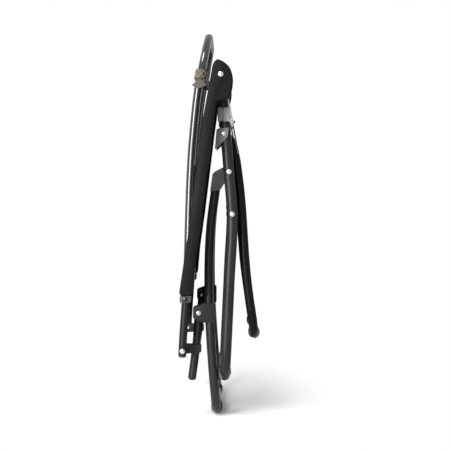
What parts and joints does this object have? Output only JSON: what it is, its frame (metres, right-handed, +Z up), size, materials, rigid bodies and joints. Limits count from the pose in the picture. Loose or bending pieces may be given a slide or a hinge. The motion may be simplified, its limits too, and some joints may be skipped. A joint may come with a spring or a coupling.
{
  "type": "folding lounge chair",
  "caption": "Folding lounge chair, folded flat: black steel tube frames with mesh seat and back, moulded armrests, riveted pivots and rubber feet.",
  "frame": {"origin": "on the floor, below the middle of the folded chair's box", "axes": "+Z up; +X to the side of the front legs, the way a sitter faces; Y across the width"},
  "size_m": [0.2064, 0.6588, 0.9718],
  "materials": {
    "satin_black": "satin black paint",
    "gloss_black": "gloss black paint",
    "arm_plastic": "dark grained plastic",
    "grey_plastic": "grey moulded plastic",
    "black_rubber": "matt",
    "rivet_steel": "zinc-plated",
    "mesh_fabric": "coated open weave",
    "webbing": "woven band"
  },
  "bodies": {
    "seat_axle": {"seat_axle": "satin_black", "seat_rivet_left": "rivet_steel", "seat_rivet_right": "rivet_steel"},
    "rear_legs": {"rear_leg_frame": "satin_black", "rear_foot_left": "black_rubber", "rear_foot_right": "black_rubber", "hinge_bracket_left": "satin_black", "hinge_bracket_right": "satin_black", "hinge_rivet_left": "rivet_steel", "hinge_rivet_right": "rivet_steel", "stop_rivet_left": "rivet_steel", "stop_rivet_right": "rivet_steel", "stop_bush_left": "grey_plastic", "stop_bush_right": "grey_plastic", "rod_collar_left": "grey_plastic", "rod_collar_right": "grey_plastic"},
    "front_legs": {"front_leg_frame": "satin_black", "front_foot_left": "black_rubber", "front_foot_right": "black_rubber", "front_leg_plug_left": "grey_plastic", "front_leg_plug_right": "grey_plastic"},
    "seat": {"seat_frame": "satin_black", "floor_pad_left": "black_rubber", "floor_pad_right": "black_rubber", "seat_bracket_left": "satin_black", "seat_bracket_right": "satin_black", "hip_sleeve_left": "satin_black", "hip_sleeve_right": "satin_black", "hip_rivet_left": "rivet_steel", "hip_rivet_right": "rivet_steel", "seat_sling": "mesh_fabric"},
    "hip_links": {"hip_link_left": "satin_black", "hip_link_right": "satin_black", "hip_link_cap_left": "black_rubber", "hip_link_cap_right": "black_rubber", "back_clamp_left": "satin_black", "back_clamp_right": "satin_black", "back_rivet_left": "rivet_steel", "back_rivet_right": "rivet_steel", "back_spacer_left": "grey_plastic", "back_spacer_right": "grey_plastic"},
    "back": {"back_frame": "gloss_black", "back_plug_left": "grey_plastic", "back_plug_right": "grey_plastic", "back_sling": "mesh_fabric", "back_strap": "webbing", "strap_tail": "webbing"},
    "armrests": {"armrest_left": "arm_plastic", "armrest_right": "arm_plastic", "arm_collar_left": "grey_plastic", "arm_collar_right": "grey_plastic", "arm_rivet_left": "rivet_steel", "arm_rivet_right": "rivet_steel", "arm_rear_rivet_left": "rivet_steel", "arm_rear_rivet_right": "rivet_steel", "arm_spacer_left": "grey_plastic", "arm_spacer_right": "grey_plastic"},
    "stop_rods": {"stop_rod_left": "rivet_steel", "stop_rod_right": "rivet_steel"}
  },
  "joints": [
    {"name": "seat_fold", "type": "hinge", "parent": "seat_axle", "child": "seat", "pos_m": [0.0238, 0, 0.623], "axis": [0, 1, 0], "range_deg": [0, 70]},
    {"name": "rear_leg_hinge", "type": "hinge", "parent": "seat_axle", "child": "rear_legs", "pos_m": [0.0238, 0, 0.623], "axis": [0, 1, 0], "range_deg": [0, 42.01]},
    {"name": "front_leg_hinge", "type": "hinge", "parent": "rear_legs", "child": "front_legs", "pos_m": [0.0108, 0, 0.718], "axis": [0, -1, 0], "range_deg": [0, 61.12]},
    {"name": "armrest_hinge", "type": "hinge", "parent": "rear_legs", "child": "armrests", "pos_m": [0.0038, 0, 0.86], "axis": [0, 1, 0], "range_deg": [0, 37.58]},
    {"name": "stop_rod_hinge", "type": "hinge", "parent": "armrests", "child": "stop_rods", "pos_m": [0.0153, 0, 0.84], "axis": [0, -1, 0], "range_deg": [0, 46.33]},
    {"name": "hip_hinge", "type": "hinge", "parent": "seat", "child": "hip_links", "pos_m": [-0.0522, 0, 0.269], "axis": [0, 1, 0], "range_deg": [0, 88.76]},
    {"name": "back_hinge", "type": "hinge", "parent": "hip_links", "child": "back", "pos_m": [-0.0922, 0, 0.176], "axis": [0, -1, 0], "range_deg": [0, 186.76]}
  ],
  "couplings": [
    {"joint": "rear_leg_hinge", "follows": "seat_fold", "ratio": 0.6},
    {"joint": "front_leg_hinge", "follows": "seat_fold", "ratio": 0.873},
    {"joint": "armrest_hinge", "follows": "seat_fold", "ratio": 0.53671},
    {"joint": "stop_rod_hinge", "follows": "seat_fold", "ratio": 0.66171},
    {"joint": "hip_hinge", "follows": "seat_fold", "ratio": 1.2679},
    {"joint": "back_hinge", "follows": "seat_fold", "ratio": 2.6679}
  ]
}
